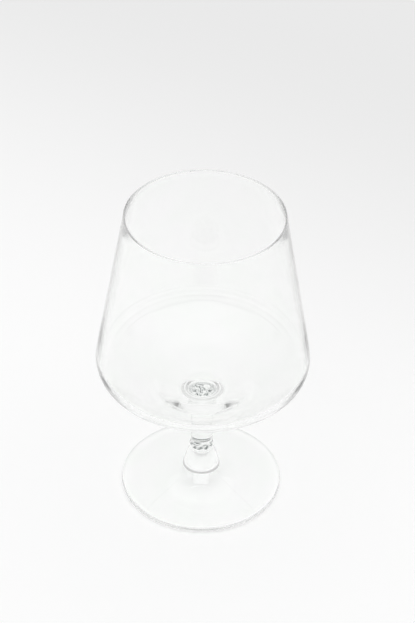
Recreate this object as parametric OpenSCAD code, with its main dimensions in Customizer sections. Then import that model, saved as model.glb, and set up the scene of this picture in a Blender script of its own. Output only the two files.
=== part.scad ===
// Brandy snifter: blown bowl, short solid stem and pressed round foot, three pieces of fused glass.
// Millimetres, Z up, origin at the middle of the foot's resting face.

/* [Overall] */
// height of the lip above the table
height = 132; // [126:0.5:140]

/* [Bowl] */
// diameter of the lip's middle line, the rim that is drunk from
lip_d = 60.3; // [54:0.1:66]
// thickness of the glass at the lip
lip_t = 1; // [0.8:0.02:1.6]
// largest outside diameter, at the shoulder
belly_d = 84; // [80:0.5:90]
// height of the largest diameter above the table
belly_z = 65.7; // [64:0.1:70]
// outside radius of the shoulder, where the wall turns in to the base
shoulder_r = 8.5; // [6:0.5:11]
// height at which the round underside would meet the axis
base_z = 46.2; // [45:0.1:48]
// thickness of the glass at the belly
belly_t = 1.7; // [1.3:0.1:2.4]
// inside radius of the shoulder
shoulder_in_r = 7.4; // [5:0.2:9]
// rise of the inside's largest diameter above the outside's
belly_rise = 0.6; // [0:0.1:1.5]
// thickness of the base under its flat floor, measured on the axis to the round underside
base_t = 6.8; // [6:0.1:7.6]
// height of the flat floor above the round inside that it fills
fill_t = 3.2; // [2.6:0.1:3.8]
// radius of the rounding from the flat floor into the round inside
floor_round = 10; // [6:0.5:14]

/* [Stem] */
// diameter of the stem
stem_d = 8.7; // [7.5:0.1:9.6]
// radius of the sweep from the stem into the bowl's underside
neck_r = 7; // [5:0.5:9]
// height of the joint between stem and foot
joint_z = 19.3; // [18:0.1:21]
// reach of the rounded ring at the joint past the stem
ring_out = 0.5; // [0.2:0.05:0.8]
// radius of the ring's rounding
ring_r = 1.6; // [1.2:0.1:2.2]

/* [Foot] */
// diameter of the foot
foot_d = 65; // [60:0.5:74]
// radius of the foot's rounded edge
edge_r = 1.05; // [0.8:0.05:1.4]
// slope of the plate's top at its edge, in degrees
plate_slope = 5; // [3:0.5:7]
// radius of the dished top of the plate, which steepens towards the hub
dish_r = 66; // [60:1:80]
// angle below the middle of the ring at which the hub takes over, in degrees
hub_angle = 40; // [30:1:50]
// diameter of the bell-shaped hub just above the plate
hub_d = 14.9; // [14:0.1:17]
// height at which the hub has that diameter
hub_low = 8.2; // [7.6:0.1:9.5]
// radius of the hub's swelling side
bell_r = 44; // [30:1:80]
// radius of the sweep from the hub onto the plate
hub_sweep = 1.5; // [1:0.1:2.2]
// width of the flat resting ring under the edge
rest_w = 2.5; // [1.5:0.1:8]
// depth of the hollow inside the resting ring
hollow = 1.5; // [0.5:0.1:2]

/* [Hidden] */
$fn = 180;
// depth by which two curves run into each other where they blend
blend = 0.002;
lip_r = lip_t / 2;
stem_r = stem_d / 2;
foot_r = foot_d / 2;
far = 2 * height;

// Point at an angle on a circle.
function on(c, r, a) = c + r * [cos(a), sin(a)];

// Angle of a direction.
function angle(v) = atan2(v.y, v.x);

// Angle of the normal of a straight wall that touches a circle about c and lies at a distance from p.
function touch(c, p, gap) = angle(p - c) - acos(gap / norm(p - c));

// Middle of a round base on the axis that carries on from a shoulder circle down to a given height.
function round_base(c, r, bottom) =
    let(k = c.y - bottom - r)
    [0, c.y + (c.x * c.x - k * k) / (2 * k)];

// Middle of an arc of radius r that runs down from p to q and swells away from the axis.
function swell(p, q, r) =
    let(d = (q - p) / norm(q - p), h = sqrt(r * r - pow(norm(q - p) / 2, 2)))
    (p + q) / 2 + h * [d.y, -d.x];

// Point at distances ra from a and rb from b, on the right going from a to b.
function meet(a, ra, b, rb) =
    let(d = norm(b - a), u = (b - a) / d, x = (ra * ra - rb * rb + d * d) / (2 * d))
    a + x * u + sqrt(ra * ra - x * x) * [u.y, -u.x];

// lip
lip = [lip_d / 2, height - lip_r];

// outside of the bowl
out_c = [belly_d / 2 - shoulder_r, belly_z];
out_b = round_base(out_c, shoulder_r, base_z);
out_r = out_b.y - base_z;
out_a = touch(out_c, lip, shoulder_r - lip_r);

// inside of the bowl
floor_z = base_z + base_t;
in_c = [belly_d / 2 - belly_t - shoulder_in_r, belly_z + belly_rise];
in_b = round_base(in_c, shoulder_in_r, floor_z - fill_t);
in_r = in_b.y - floor_z + fill_t;
in_a = touch(in_c, lip, shoulder_in_r + lip_r);
floor_up = floor_z + floor_round;
floor_c = [sqrt(pow(in_r - floor_round, 2) - pow(in_b.y - floor_up, 2)), floor_up];

// neck under the bowl
neck_x = stem_r + neck_r;
neck_z = out_b.y - sqrt(pow(out_r + neck_r, 2) - neck_x * neck_x);
neck_on = on(out_b, out_r, angle([neck_x, neck_z] - out_b));

// ring at the joint, half of it on the stem and half on the foot
ring = [stem_r + ring_out - ring_r, joint_z];

// edge and dished plate of the foot
edge = [foot_r - edge_r, edge_r];
plate_on = on(edge, edge_r, 90 - plate_slope);
dish_c = on(plate_on, dish_r, 90 - plate_slope);

// bell-shaped hub and the sweep from it onto the plate
bell_c = swell(on(ring, ring_r, -hub_angle), [hub_d / 2, hub_low], bell_r);
sweep_c = meet(bell_c, bell_r + hub_sweep, dish_c, dish_r - hub_sweep);
sweep_hub = on(bell_c, bell_r, angle(sweep_c - bell_c));
sweep_dish = on(dish_c, dish_r, angle(sweep_c - dish_c));

// hollow under the foot
rest_r = edge.x - rest_w;
dome_r = (rest_r * rest_r + hollow * hollow) / (2 * hollow);

// Part of a disc on the axis, between the lines from its middle through two points.
module base_disc(c, r, first, last) {
    intersection() {
        translate(c) circle(r);
        polygon([c, c + 3 * (first - c), c + 3 * (last - c)]);
    }
}

// Half section of everything within the bowl's outside, up to the lip's middle.
module bowl_outside() {
    top = on(lip, -5 * lip_r, out_a);
    polygon([
        [0, floor_z],
        out_c,
        on(out_c, shoulder_r, out_a),
        on(lip, lip_r, out_a),
        top,
        [0, top.y]
    ]);
    translate(out_c) circle(shoulder_r + blend);
    base_disc(out_b, out_r, [0, base_z], out_c);
}

// Half section of the space inside the bowl, on past the lip.
module bowl_inside() {
    side = on(in_c, shoulder_in_r, in_a);
    past = max(height, out_b.y) + 5;
    polygon([
        [0, floor_z],
        [floor_c.x, floor_z],
        floor_c,
        in_c,
        side,
        [side.x - (past - side.y) * tan(in_a), past],
        [0, past]
    ]);
    translate(in_c) circle(shoulder_in_r + blend);
    translate(floor_c) circle(floor_round + blend);
    base_disc(in_b, in_r, floor_c, in_c);
}

// Half section of the neck that sweeps from the bowl's underside to the stem.
module neck() {
    difference() {
        polygon([[0, neck_z], [stem_r, neck_z], neck_on, [0, neck_on.y]]);
        translate([neck_x, neck_z]) circle(neck_r + blend);
    }
}

module bowl() {
    color("#eef3f2")
    rotate_extrude()
    union() {
        difference() {
            bowl_outside();
            bowl_inside();
        }
        translate(lip) circle(lip_r + blend);
        neck();
    }
}

// Half section of the stem with the upper half of the ring around its lower end.
module stem_section() {
    translate([0, joint_z]) square([stem_r, neck_z - joint_z]);
    intersection() {
        translate(ring) circle(ring_r);
        translate([0, joint_z]) square([far, far]);
    }
}

module stem() {
    color("#eef3f2")
    rotate_extrude()
    stem_section();
}

// Half section of the hub: the bell, and the lower half of the ring on top of it.
module hub() {
    intersection() {
        translate(bell_c) circle(bell_r);
        square([far, joint_z]);
    }
    square([ring.x, joint_z]);
    intersection() {
        translate(ring) circle(ring_r);
        square([far, joint_z]);
    }
}

// Half section of the plate with its dished top and rounded edge.
module plate() {
    difference() {
        polygon([[0, 0], [edge.x, 0], edge, plate_on, [0, joint_z]]);
        translate(dish_c) circle(dish_r);
    }
    intersection() {
        translate(edge) circle(edge_r + blend);
        square([far, far]);
    }
}

// Half section of the sweep between hub and plate.
module sweep() {
    deep = sweep_dish.y - 1;
    difference() {
        polygon([
            [sweep_hub.x - 1, deep],
            [sweep_dish.x, deep],
            sweep_dish,
            sweep_hub,
            [sweep_hub.x - 1, sweep_hub.y]
        ]);
        translate(sweep_c) circle(hub_sweep + blend);
    }
}

module foot() {
    color("#eef3f2")
    rotate_extrude()
    difference() {
        union() {
            hub();
            plate();
            sweep();
        }
        intersection() {
            translate([0, hollow - dome_r]) circle(dome_r);
            square([far, far]);
        }
    }
}

bowl();
stem();
foot();
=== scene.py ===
"""Brandy snifter in clear glass: blown bowl, drawn stem and pressed foot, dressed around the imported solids."""

import logging
import math
from dataclasses import dataclass
from enum import Enum
from typing import Any

import bpy
from mathutils import Matrix, Vector


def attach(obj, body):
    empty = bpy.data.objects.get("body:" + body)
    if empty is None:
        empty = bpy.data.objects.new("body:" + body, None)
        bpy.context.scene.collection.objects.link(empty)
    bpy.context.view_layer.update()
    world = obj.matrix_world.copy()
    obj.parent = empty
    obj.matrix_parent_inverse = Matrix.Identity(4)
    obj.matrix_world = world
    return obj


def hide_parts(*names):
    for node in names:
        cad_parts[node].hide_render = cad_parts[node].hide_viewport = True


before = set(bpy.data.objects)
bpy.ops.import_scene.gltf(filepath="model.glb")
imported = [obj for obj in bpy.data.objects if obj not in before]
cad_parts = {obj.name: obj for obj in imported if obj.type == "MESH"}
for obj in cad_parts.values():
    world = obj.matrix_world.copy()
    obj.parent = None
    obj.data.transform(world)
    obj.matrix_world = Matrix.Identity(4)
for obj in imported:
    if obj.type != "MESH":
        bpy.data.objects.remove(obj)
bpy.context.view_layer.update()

LOG = logging.getLogger("snifter")
MM = 0.001
SEGMENTS = 288
WELD = 0.001 * MM
CREASE = math.radians(32)
LEVEL = 0.999
SEAM_REACH = 0.005 * MM
NO_BOUNCE = 0.5


def srgb(hex_colour: str) -> tuple[float, float, float, float]:
    """Turn an sRGB hex colour to linear light.

    Args:
        hex_colour: six hex digits after a hash sign.

    Returns:
        Linear red, green, blue and an alpha of 1.
    """
    parts = [int(hex_colour[i:i + 2], 16) / 255 for i in (1, 3, 5)]
    red, green, blue = (c / 12.92 if c <= 0.04045 else ((c + 0.055) / 1.055) ** 2.4 for c in parts)
    return red, green, blue, 1.0


def add_node(tree: bpy.types.NodeTree, kind: str, settings: dict[str, Any], **feeds: Any) -> bpy.types.Node:
    """Add one node with its settings and links.

    Args:
        tree: node tree that gets the node.
        kind: node type.
        settings: node properties by name, and input values by socket name.
        feeds: output sockets by input name, with underscores for spaces.

    Returns:
        The new node.
    """
    node = tree.nodes.new(kind)
    for name, value in settings.items():
        if name in node.inputs:
            node.inputs[name].default_value = value
        else:
            setattr(node, name, value)
    for name, source in feeds.items():
        tree.links.new(source, node.inputs[name.replace("_", " ")])
    return node


def combine(tree: bpy.types.NodeTree, operation: str, *values: Any, kind: str = "ShaderNodeMath") -> Any:
    """Add a math node.

    Args:
        tree: node tree that gets it.
        operation: what it does.
        values: sockets or plain values, in the order of its inputs.
        kind: node type, for numbers or for vectors.

    Returns:
        The result's socket.
    """
    node = add_node(tree, kind, {"operation": operation})
    for socket, value in zip(node.inputs, values):
        if isinstance(value, bpy.types.NodeSocket):
            tree.links.new(value, socket)
        else:
            socket.default_value = value
    return node.outputs[0]


def mix(tree: bpy.types.NodeTree, share: Any, first: Any, second: Any) -> Any:
    """Mix two shaders.

    Args:
        tree: node tree that gets the mix.
        share: socket with the second shader's share.
        first: shader socket at a share of 0.
        second: shader socket at a share of 1.

    Returns:
        The mix's shader socket.
    """
    node = add_node(tree, "ShaderNodeMixShader", {})
    for socket, source in zip(node.inputs, (share, first, second)):
        tree.links.new(source, socket)
    return node.outputs[0]


def polar(centre: Vector, radius: float, degrees: float) -> Vector:
    """Point of a circle in the section plane at an angle from the outward direction."""
    turn = math.radians(degrees)
    return centre + radius * Vector((math.cos(turn), math.sin(turn)))


def heading(way: Vector) -> float:
    """Angle of a direction in the section plane, in degrees."""
    return math.degrees(math.atan2(way.y, way.x))


def touch(centre: Vector, point: Vector, gap: float) -> float:
    """Angle of the normal of a straight wall that touches a circle and passes a point at a distance.

    Args:
        centre: middle of the circle, whose radius is part of gap.
        point: the point that the wall passes.
        gap: distance between the lines through centre and point.

    Returns:
        The normal's angle in degrees.
    """
    way = point - centre
    return heading(way) - math.degrees(math.acos(gap / way.length))


def round_base(centre: Vector, radius: float, bottom: float) -> Vector:
    """Middle, on the axis, of a round base that carries on from a shoulder circle.

    Args:
        centre: middle of the shoulder circle.
        radius: radius of the shoulder circle.
        bottom: height of the base on the axis.

    Returns:
        The middle of the base's arc.
    """
    rise = centre.y - bottom - radius
    return Vector((0.0, centre.y + (centre.x ** 2 - rise ** 2) / (2 * rise)))


class Seam(Enum):
    """How a fused joint looks inside the glass."""

    CLEAR = "clear"
    # a rough joint whose mottled dimming is painted shade
    ROUGH_WITH_PAINTED_SHADE = "rough_with_painted_shade"


@dataclass(frozen=True)
class ClearGlass:
    """Clear soda-lime glass, fire-polished: colourless and mirror smooth, with faint slow waves from the making."""

    name: str
    wave_mm: float
    wave_height_mm: float
    tint: str = "#fefffe"
    streak: str = "#ffffff"
    tint_below: float = 0.35
    streak_above: float = 0.65
    ior: float = 1.52

    def build(self) -> bpy.types.Material:
        """Make the material.

        Returns:
            A glass with a tint that drifts along faint streaks and a surface with slow waves.
        """
        mat = bpy.data.materials.new(self.name)
        mat.use_nodes = True
        tree = mat.node_tree
        tree.nodes.clear()
        where = add_node(tree, "ShaderNodeTexCoord", {})
        # streaks and waves are about as long as the tool marks on such glass
        noise = add_node(
            tree, "ShaderNodeTexNoise",
            {"Scale": 1 / (self.wave_mm * MM), "Detail": 1.0, "Roughness": 0.4},
            Vector=where.outputs["Object"],
        )
        ramp = add_node(tree, "ShaderNodeValToRGB", {}, Fac=noise.outputs["Fac"])
        ramp.color_ramp.elements[0].position = self.tint_below
        ramp.color_ramp.elements[0].color = srgb(self.tint)
        ramp.color_ramp.elements[1].position = self.streak_above
        ramp.color_ramp.elements[1].color = srgb(self.streak)
        bump = add_node(
            tree, "ShaderNodeBump",
            {"Strength": 1.0, "Distance": self.wave_height_mm * MM},
            Height=noise.outputs["Fac"],
        )
        glass = add_node(
            tree, "ShaderNodeBsdfPrincipled",
            {"Roughness": 0.0, "IOR": self.ior, "Transmission Weight": 1.0},
            Base_Color=ramp.outputs["Color"], Normal=bump.outputs["Normal"],
        )
        add_node(tree, "ShaderNodeOutputMaterial", {}, Surface=glass.outputs["BSDF"])
        return mat


@dataclass(frozen=True)
class FusedSeam:
    """Face where two pieces are fused: no surface to the eye, or a rough skin with painted shade, a mottled dimming of
    what is behind it.
    """

    name: str
    kind: Seam
    shade_mottle_mm: float = 1.4
    painted_shade: str = "#969a9a"
    painted_shade_below: float = 0.36
    clear_above: float = 0.52

    def build(self) -> bpy.types.Material:
        """Make the material.

        Returns:
            A see-through face, mottled with painted shade where the joint is rough.
        """
        mat = bpy.data.materials.new(self.name)
        mat.use_nodes = True
        tree = mat.node_tree
        tree.nodes.clear()
        clear = add_node(tree, "ShaderNodeBsdfTransparent", {"Color": srgb("#ffffff")})
        # painted shade: the mottled dimming makes the dark disc seen down through the bowl and the dark marks at the
        # joint, which come from dark surroundings seen through the rough seam
        if self.kind is Seam.ROUGH_WITH_PAINTED_SHADE:
            where = add_node(tree, "ShaderNodeTexCoord", {})
            noise = add_node(
                tree, "ShaderNodeTexNoise",
                {"Scale": 1 / (self.shade_mottle_mm * MM), "Detail": 1.0},
                Vector=where.outputs["Object"],
            )
            ramp = add_node(tree, "ShaderNodeValToRGB", {}, Fac=noise.outputs["Fac"])
            ramp.color_ramp.elements[0].position = self.painted_shade_below
            ramp.color_ramp.elements[0].color = srgb(self.painted_shade)
            ramp.color_ramp.elements[1].position = self.clear_above
            ramp.color_ramp.elements[1].color = srgb("#ffffff")
            tree.links.new(ramp.outputs["Color"], clear.inputs["Color"])
        add_node(tree, "ShaderNodeOutputMaterial", {}, Surface=clear.outputs["BSDF"])
        return mat


class Lathe:
    """A round piece: its half section is drawn in edit mode from one point and spun about the axis."""

    def __init__(self, name: str, start: Vector) -> None:
        """Begin a section.

        Args:
            name: name of the piece.
            start: first point of the section, radius and height in millimetres.
        """
        bpy.ops.object.select_all(action="DESELECT")
        bpy.ops.mesh.primitive_plane_add(size=MM, location=(start.x * MM, 0, start.y * MM))
        self.piece = bpy.context.active_object
        self.piece.name = self.piece.data.name = name
        bpy.ops.object.transform_apply(location=True, rotation=True, scale=True)
        bpy.ops.object.mode_set(mode="EDIT")
        bpy.ops.mesh.select_all(action="SELECT")
        bpy.ops.mesh.merge(type="CENTER")
        self.at = start.copy()

    def line(self, end: Vector, parts: int = 1) -> None:
        """Extrude the section straight to a point.

        Args:
            end: point to reach.
            parts: number of edges on the way.
        """
        step = (end - self.at) * MM / parts
        for _ in range(parts):
            bpy.ops.mesh.extrude_region_move(TRANSFORM_OT_translate={"value": (step.x, 0, step.y)})
        self.at = end.copy()

    def arc(self, centre: Vector, to: float, finest: float) -> None:
        """Spin the section's end about a point in the section plane.

        Args:
            centre: middle of the arc.
            to: angle at which the arc ends, in degrees.
            finest: largest turn of one edge, in degrees.
        """
        spoke = self.at - centre
        turn = to - heading(spoke)
        turn = (turn + 180) % 360 - 180
        steps = max(2, math.ceil(abs(turn) / finest))
        bpy.ops.mesh.spin(
            steps=steps, angle=math.radians(turn), center=(centre.x * MM, 0, centre.y * MM), axis=(0, 1, 0)
        )
        self.at = polar(centre, spoke.length, to)

    def turn(self) -> bpy.types.Object:
        """Spin the section round the axis and close it.

        Returns:
            The finished piece, smooth apart from its creases.
        """
        bpy.ops.mesh.select_all(action="SELECT")
        bpy.ops.mesh.spin(steps=SEGMENTS, angle=2 * math.pi, center=(0, 0, 0), axis=(0, 0, 1))
        bpy.ops.mesh.select_all(action="SELECT")
        bpy.ops.mesh.remove_doubles(threshold=WELD)
        bpy.ops.mesh.select_all(action="SELECT")
        bpy.ops.mesh.normals_make_consistent(inside=False)
        bpy.ops.object.mode_set(mode="OBJECT")
        bpy.ops.object.shade_smooth_by_angle(angle=CREASE)
        return self.piece


def dress(piece: bpy.types.Object, glass: ClearGlass, seams: dict[float, FusedSeam]) -> None:
    """Give a piece its glass, and its flat joint faces their seams.

    Args:
        piece: the piece.
        glass: finish of the piece.
        seams: finish of each joint face by its height in millimetres.
    """
    piece.data.materials.clear()
    piece.data.materials.append(glass.build())
    for index, (height, seam) in enumerate(seams.items(), start=1):
        piece.data.materials.append(seam.build())
        for face in piece.data.polygons:
            flat = abs(face.normal.z) > LEVEL
            if flat and abs(face.center.z - height * MM) < SEAM_REACH:
                face.material_index = index


@dataclass(frozen=True)
class Joints:
    """Sizes that neighbouring pieces share, in millimetres and degrees."""

    stem_r: float = 4.35
    neck_z: float = 40.100085
    joint_z: float = 19.3
    ring_out: float = 0.5
    ring_r: float = 1.6
    hub_angle: float = 40.0

    @property
    def ring(self) -> Vector:
        """Middle of the rounded ring at the joint of stem and foot."""
        return Vector((self.stem_r + self.ring_out - self.ring_r, self.joint_z))


@dataclass
class Bowl:
    """Blown bowl: rounded lip, tapering wall, tight shoulder, thick base with a flat floor, flared neck.

    The lip is 0.2 mm thinner than the solid's, which makes the wall's edges lighter, nearer to the photograph's.
    """

    joints: Joints
    glass: ClearGlass
    seam: FusedSeam
    height: float = 132.0
    lip_d: float = 60.3
    lip_t: float = 0.8
    belly_d: float = 84.0
    belly_z: float = 65.7
    shoulder_r: float = 8.5
    base_z: float = 46.2
    belly_t: float = 1.7
    shoulder_in_r: float = 7.4
    belly_rise: float = 0.6
    base_t: float = 6.8
    fill_t: float = 3.2
    floor_round: float = 10.0
    neck_r: float = 7.0

    def build(self) -> bpy.types.Object:
        """Turn the bowl.

        Returns:
            The bowl as one closed piece.
        """
        lip_r = self.lip_t / 2
        lip = Vector((self.lip_d / 2, self.height - lip_r))
        out_c = Vector((self.belly_d / 2 - self.shoulder_r, self.belly_z))
        out_b = round_base(out_c, self.shoulder_r, self.base_z)
        out_r = out_b.y - self.base_z
        out_a = touch(out_c, lip, self.shoulder_r - lip_r)
        floor_z = self.base_z + self.base_t
        in_c = Vector((self.belly_d / 2 - self.belly_t - self.shoulder_in_r, self.belly_z + self.belly_rise))
        in_b = round_base(in_c, self.shoulder_in_r, floor_z - self.fill_t)
        in_a = touch(in_c, lip, self.shoulder_in_r + lip_r)
        floor_c = Vector((0.0, floor_z + self.floor_round))
        left = in_b.y - floor_z + self.fill_t - self.floor_round
        floor_c.x = math.sqrt(left ** 2 - (in_b.y - floor_c.y) ** 2)
        neck_c = Vector((self.joints.stem_r + self.neck_r, 0.0))
        neck_c.y = out_b.y - math.sqrt((out_r + self.neck_r) ** 2 - neck_c.x ** 2)

        lathe = Lathe("bowl_blown_glass", Vector((0.0, floor_z)))
        lathe.line(Vector((floor_c.x, floor_z)), 8)
        lathe.arc(floor_c, heading(floor_c - in_b), 1.0)
        lathe.arc(in_b, heading(in_c - in_b), 1.0)
        lathe.arc(in_c, in_a, 2.0)
        lathe.line(polar(lip, -lip_r, in_a), 12)
        lathe.arc(lip, 90, 10.0)
        lathe.arc(lip, out_a, 10.0)
        lathe.line(polar(out_c, self.shoulder_r, out_a), 12)
        lathe.arc(out_c, heading(out_c - out_b), 2.0)
        lathe.arc(out_b, heading(neck_c - out_b), 1.0)
        lathe.arc(neck_c, 180, 3.0)
        lathe.line(Vector((0.0, neck_c.y)), 3)
        piece = lathe.turn()
        dress(piece, self.glass, {neck_c.y: self.seam})
        return piece


@dataclass
class Stem:
    """Drawn rod between bowl and foot, with the upper half of the rounded ring at its lower end."""

    joints: Joints
    glass: ClearGlass
    top_seam: FusedSeam
    low_seam: FusedSeam

    def build(self) -> bpy.types.Object:
        """Turn the stem.

        Returns:
            The stem as one closed piece.
        """
        fit = self.joints
        edge = math.degrees(math.acos((fit.stem_r - fit.ring.x) / fit.ring_r))
        lathe = Lathe("stem_drawn_glass", Vector((0.0, fit.joint_z)))
        lathe.line(Vector((fit.ring.x + fit.ring_r, fit.joint_z)), 3)
        lathe.arc(fit.ring, edge, 4.0)
        lathe.line(Vector((fit.stem_r, fit.neck_z)), 10)
        lathe.line(Vector((0.0, fit.neck_z)), 3)
        piece = lathe.turn()
        dress(piece, self.glass, {fit.joint_z: self.low_seam, fit.neck_z: self.top_seam})
        return piece


@dataclass
class Foot:
    """Pressed foot: a bell-shaped hub under the ring, a dished round-edged plate, and a hollow in the resting ring."""

    joints: Joints
    glass: ClearGlass
    seam: FusedSeam
    foot_d: float = 65.0
    edge_r: float = 1.05
    plate_slope: float = 5.0
    dish_r: float = 66.0
    hub_d: float = 14.9
    hub_low: float = 8.2
    bell_r: float = 44.0
    hub_sweep: float = 1.5
    rest_w: float = 2.5
    hollow: float = 1.5

    def build(self) -> bpy.types.Object:
        """Turn the foot.

        Returns:
            The foot as one closed piece.
        """
        fit = self.joints
        edge = Vector((self.foot_d / 2 - self.edge_r, self.edge_r))
        plate_on = polar(edge, self.edge_r, 90 - self.plate_slope)
        dish_c = polar(plate_on, self.dish_r, 90 - self.plate_slope)
        hub_top = polar(fit.ring, fit.ring_r, -fit.hub_angle)
        bell_c = self.bell_middle(hub_top, Vector((self.hub_d / 2, self.hub_low)))
        sweep_c = self.sweep_middle(bell_c, dish_c)
        rest_r = edge.x - self.rest_w
        dome_r = (rest_r ** 2 + self.hollow ** 2) / (2 * self.hollow)

        lathe = Lathe("foot_pressed_glass", Vector((0.0, fit.joint_z)))
        lathe.line(Vector((fit.ring.x + fit.ring_r, fit.joint_z)), 3)
        lathe.arc(fit.ring, -fit.hub_angle, 4.0)
        lathe.arc(bell_c, heading(sweep_c - bell_c), 1.0)
        lathe.arc(sweep_c, heading(sweep_c - dish_c), 4.0)
        lathe.arc(dish_c, -90 - self.plate_slope, 0.6)
        lathe.arc(edge, 0, 8.0)
        lathe.arc(edge, -90, 8.0)
        lathe.line(Vector((rest_r, 0.0)), 3)
        lathe.arc(Vector((0.0, self.hollow - dome_r)), 90, 0.2)
        piece = lathe.turn()
        dress(piece, self.glass, {fit.joint_z: self.seam})
        return piece

    def bell_middle(self, top: Vector, low: Vector) -> Vector:
        """Middle of the arc that the hub's side follows.

        Args:
            top: upper end of the side.
            low: lower end of the side.

        Returns:
            The arc's middle, on the axis side of the hub.
        """
        way = (low - top).normalized()
        reach = math.sqrt(self.bell_r ** 2 - ((low - top).length / 2) ** 2)
        return (top + low) / 2 + reach * Vector((way.y, -way.x))

    def sweep_middle(self, bell_c: Vector, dish_c: Vector) -> Vector:
        """Middle of the small sweep that touches the hub's side and the plate's top.

        Args:
            bell_c: middle of the hub's side arc.
            dish_c: middle of the plate's dished top.

        Returns:
            The sweep's middle, outside the glass.
        """
        near, away = self.bell_r + self.hub_sweep, self.dish_r - self.hub_sweep
        apart = (dish_c - bell_c).length
        way = (dish_c - bell_c) / apart
        along = (near ** 2 - away ** 2 + apart ** 2) / (2 * apart)
        return bell_c + along * way + math.sqrt(near ** 2 - along ** 2) * Vector((way.y, -way.x))


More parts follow.
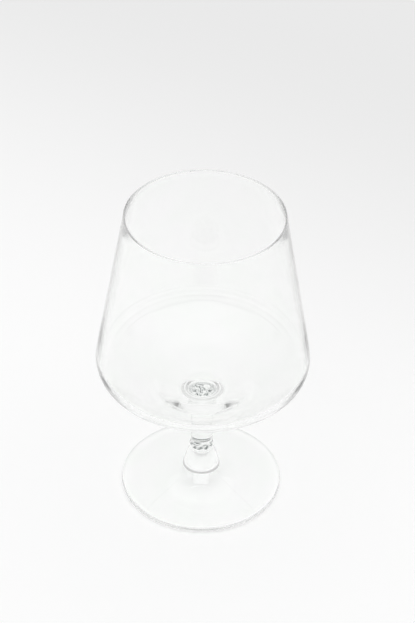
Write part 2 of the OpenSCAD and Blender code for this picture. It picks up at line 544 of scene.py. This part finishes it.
@dataclass
class Studio:
    """Plain pale floor, soft light all round and the photograph's viewpoint.

    Each sky is a row of heights, 0 at the horizon and 1 overhead, with the brightness there. The lamp lights the floor.
    The other three are what the glass shows: the corners of the room on the camera's side, the strips square in front
    and beside, whose dim band draws the rim and the outline, and the room behind.
    """

    floor_size: float = 12.0
    floor_drop_mm: float = 0.05
    floor_near: str = "#f9f9f9"
    # the far colour is painted shade, for the light falling off to the back
    floor_far: str = "#e7e7e7"
    near_mm: float = 20.0
    far_mm: float = 400.0
    painted_falloff_way: tuple[float, float, float] = (0.6, 1.0, 0.0)
    lamp: tuple[tuple[float, float], ...] = ((0.0, 0.29), (1.0, 1.345))
    backdrop: float = 0.84
    near_sky: tuple[tuple[float, float], ...] = (
        (0.044, 0.5), (0.148, 0.6), (0.276, 0.8), (0.423, 0.9),
        (0.574, 0.65), (0.707, 0.35), (0.819, 0.9), (0.989, 1.1),
    )
    strip_sky: tuple[tuple[float, float], ...] = (
        (0.044, 0.2), (0.148, 0.3), (0.276, 0.65), (0.54, 0.9),
        (0.58, 0.05), (0.63, 0.05), (0.67, 0.88), (0.989, 1.1),
    )
    far_sky: tuple[tuple[float, float], ...] = (
        (0.044, 0.8), (0.148, 0.72), (0.276, 0.62), (0.423, 0.55),
        (0.574, 0.6), (0.707, 0.68), (0.819, 0.78), (0.989, 1.1),
    )
    turn_to_far: tuple[tuple[float, float], ...] = ((0.1, 0.0), (0.75, 1.0))
    turn_to_strip: tuple[tuple[float, float], ...] = ((0.25, 1.0), (0.42, 0.0))
    backdrop_top: tuple[tuple[float, float], ...] = ((0.12, 1.0), (0.24, 0.0))
    focal_px: float = 1916.7
    frame_h: int = 623
    distance_mm: float = 751.18
    look_z_mm: float = 65.0
    elevation: float = 39.365
    roll: float = 0.953
    yaw: float = 0.134
    pitch: float = 1.304
    sensor_mm: float = 36.0
    bounces: int = 128

    def lay_floor(self) -> None:
        """Lay a matt pale floor a hair under the foot, with painted shade: a little darker to the back and the right,
        where the light falls off.
        """
        bpy.ops.object.select_all(action="DESELECT")
        bpy.ops.mesh.primitive_plane_add(size=self.floor_size, location=(0, 0, -self.floor_drop_mm * MM))
        floor = bpy.context.active_object
        floor.name = "studio_floor"
        bpy.ops.object.transform_apply(location=True)
        mat = bpy.data.materials.new("matt_pale_paper")
        mat.use_nodes = True
        tree = mat.node_tree
        tree.nodes.clear()
        where = add_node(tree, "ShaderNodeTexCoord", {})
        away = add_node(tree, "ShaderNodeVectorMath", {"operation": "DOT_PRODUCT"})
        away.inputs[1].default_value = self.painted_falloff_way
        tree.links.new(where.outputs["Object"], away.inputs[0])
        # painted shade: the floor's colour darkens with distance to the back and right, standing for the light falling
        # off there
        ramp = self.ramp(tree, away.outputs["Value"], (
            (self.near_mm * MM, srgb(self.floor_near)), (self.far_mm * MM, srgb(self.floor_far)),
        ))
        paper = add_node(
            tree, "ShaderNodeBsdfPrincipled",
            {"Roughness": 0.95, "Specular IOR Level": 0.0},
            Base_Color=ramp,
        )
        add_node(tree, "ShaderNodeOutputMaterial", {}, Surface=paper.outputs["BSDF"])
        floor.data.materials.append(mat)

    @staticmethod
    def ramp(tree: bpy.types.NodeTree, source: Any, stops: tuple) -> Any:
        """Add a colour ramp.

        Args:
            tree: node tree that gets it.
            source: output socket that runs along the ramp.
            stops: places and linear colours.

        Returns:
            The ramp's colour socket.
        """
        node = add_node(tree, "ShaderNodeValToRGB", {}, Fac=source)
        marks = node.color_ramp.elements
        node.color_ramp.interpolation = "EASE"
        for index, (place, colour) in enumerate(stops):
            mark = marks[index] if index < 2 else marks.new(place)
            mark.position = place
            mark.color = colour
        return node.outputs["Color"]

    @staticmethod
    def greys(stops: tuple[tuple[float, float], ...]) -> tuple:
        """Turn places and levels to places and grey colours."""
        return tuple((place, (level, level, level, 1.0)) for place, level in stops)

    def glow(self, tree: bpy.types.NodeTree, height: Any, stops: tuple[tuple[float, float], ...]) -> Any:
        """Add a sky whose brightness goes by the height of the direction.

        Args:
            tree: node tree that gets it.
            height: socket with the height, 0 at the horizon and 1 overhead.
            stops: heights and brightnesses.

        Returns:
            The sky's shader socket.
        """
        top = max(value for _, value in stops)
        level = self.ramp(tree, height, self.greys(tuple((place, value / top) for place, value in stops)))
        return add_node(tree, "ShaderNodeBackground", {"Strength": top}, Color=level).outputs["Background"]

    def light(self) -> None:
        """Light the floor from a soft sky overhead, and let the glass show a studio with dimmer and brighter parts."""
        scene = bpy.context.scene
        scene.world = bpy.data.worlds.new("studio_sky")
        scene.world.use_nodes = True
        tree = scene.world.node_tree
        tree.nodes.clear()
        where = add_node(tree, "ShaderNodeTexCoord", {})
        way = add_node(tree, "ShaderNodeSeparateXYZ", {}, Vector=where.outputs["Generated"])
        level = combine(tree, "MULTIPLY", where.outputs["Generated"], (1.0, 1.0, 0.0), kind="ShaderNodeVectorMath")
        round_about = combine(tree, "NORMALIZE", level, kind="ShaderNodeVectorMath")
        side = add_node(tree, "ShaderNodeSeparateXYZ", {}, Vector=round_about)
        far = self.ramp(tree, side.outputs["Y"], self.greys(self.turn_to_far))
        corner = combine(tree, "ABSOLUTE", combine(tree, "MULTIPLY", side.outputs["X"], side.outputs["Y"]))
        square_on = self.ramp(tree, corner, self.greys(self.turn_to_strip))
        near, strip, behind = (
            self.glow(tree, way.outputs["Z"], sky) for sky in (self.near_sky, self.strip_sky, self.far_sky)
        )
        studio = mix(tree, far, mix(tree, square_on, near, strip), behind)
        lamp = self.glow(tree, way.outputs["Z"], self.lamp)
        plain = add_node(tree, "ShaderNodeBackground", {"Color": (1, 1, 1, 1), "Strength": self.backdrop})
        path = add_node(tree, "ShaderNodeLightPath", {})
        # a ray that is only bent by the glass sees the same backdrop as the camera does
        low = self.ramp(tree, way.outputs["Z"], self.greys(self.backdrop_top))
        straight = combine(tree, "LESS_THAN", path.outputs["Glossy Depth"], NO_BOUNCE)
        shown = mix(tree, combine(tree, "MULTIPLY", low, straight), studio, plain.outputs["Background"])
        through = combine(tree, "MAXIMUM", path.outputs["Is Glossy Ray"], path.outputs["Is Transmission Ray"])
        first = combine(tree, "LESS_THAN", path.outputs["Diffuse Depth"], NO_BOUNCE)
        by_glass = combine(tree, "MULTIPLY", through, first)
        seen = mix(tree, by_glass, lamp, shown)
        whole = mix(tree, path.outputs["Is Camera Ray"], seen, plain.outputs["Background"])
        add_node(tree, "ShaderNodeOutputWorld", {}, Surface=whole)

    def place_camera(self) -> None:
        """Put the camera at the photograph's viewpoint, with its tilt and framing."""
        tilt, roll = math.radians(self.elevation), math.radians(self.roll)
        back = Vector((0, -math.cos(tilt), math.sin(tilt)))
        right = Vector((1, 0, 0))
        up = back.cross(right)
        rolled = right * math.cos(roll) + up * math.sin(roll)
        upright = up * math.cos(roll) - right * math.sin(roll)
        place = (Vector((0, 0, self.look_z_mm)) + back * self.distance_mm) * MM
        ahead = -back + math.tan(math.radians(self.yaw)) * rolled + math.tan(math.radians(self.pitch)) * upright
        ahead.normalize()
        side = (rolled - ahead * rolled.dot(ahead)).normalized()
        top = side.cross(ahead)
        data = bpy.data.cameras.new("viewpoint")
        data.sensor_fit = "AUTO"
        data.sensor_width = self.sensor_mm
        data.lens = self.focal_px * data.sensor_width / self.frame_h
        data.clip_start, data.clip_end = 0.01, 50
        camera = bpy.data.objects.new("viewpoint", data)
        bpy.context.scene.collection.objects.link(camera)
        camera.matrix_world = Matrix((
            (side.x, top.x, -ahead.x, place.x),
            (side.y, top.y, -ahead.y, place.y),
            (side.z, top.z, -ahead.z, place.z),
            (0, 0, 0, 1),
        ))
        bpy.context.scene.camera = camera

    def settle(self) -> None:
        """Let light pass through the glass as often as it needs, and keep colours as they are written."""
        scene = bpy.context.scene
        scene.view_settings.view_transform = "Standard"
        rays = scene.cycles
        rays.max_bounces = rays.transmission_bounces = rays.glossy_bounces = self.bounces
        rays.transparent_max_bounces = self.bounces
        rays.blur_glossy = 0.0


def main() -> None:
    """Build the pieces in order, stand each in for its solid, and set the studio."""
    logging.basicConfig(level=logging.INFO, format="%(name)s: %(message)s")
    joints = Joints()
    blown = ClearGlass("clear_blown_soda_lime_glass", wave_mm=14.0, wave_height_mm=0.004)
    drawn = ClearGlass("clear_drawn_soda_lime_glass", wave_mm=9.0, wave_height_mm=0.004)
    pressed = ClearGlass("clear_pressed_soda_lime_glass", wave_mm=11.0, wave_height_mm=0.005)
    clear = FusedSeam("fused_joint_clear", Seam.CLEAR)
    # the stem's lower joint face and the foot's top face get this painted shade
    rough_with_painted_shade = FusedSeam("fused_joint_with_painted_shade", Seam.ROUGH_WITH_PAINTED_SHADE)
    makers = {
        "bowl": Bowl(joints, blown, clear),
        "stem": Stem(joints, drawn, clear, rough_with_painted_shade),
        "foot": Foot(joints, pressed, rough_with_painted_shade),
    }
    for node, maker in makers.items():
        piece = maker.build()
        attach(piece, "root")
        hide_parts(node)
        LOG.info("%s stands for %s with %d faces", piece.name, node, len(piece.data.polygons))
    studio = Studio()
    studio.lay_floor()
    studio.light()
    studio.place_camera()
    studio.settle()


if __name__ == "__main__":
    main()
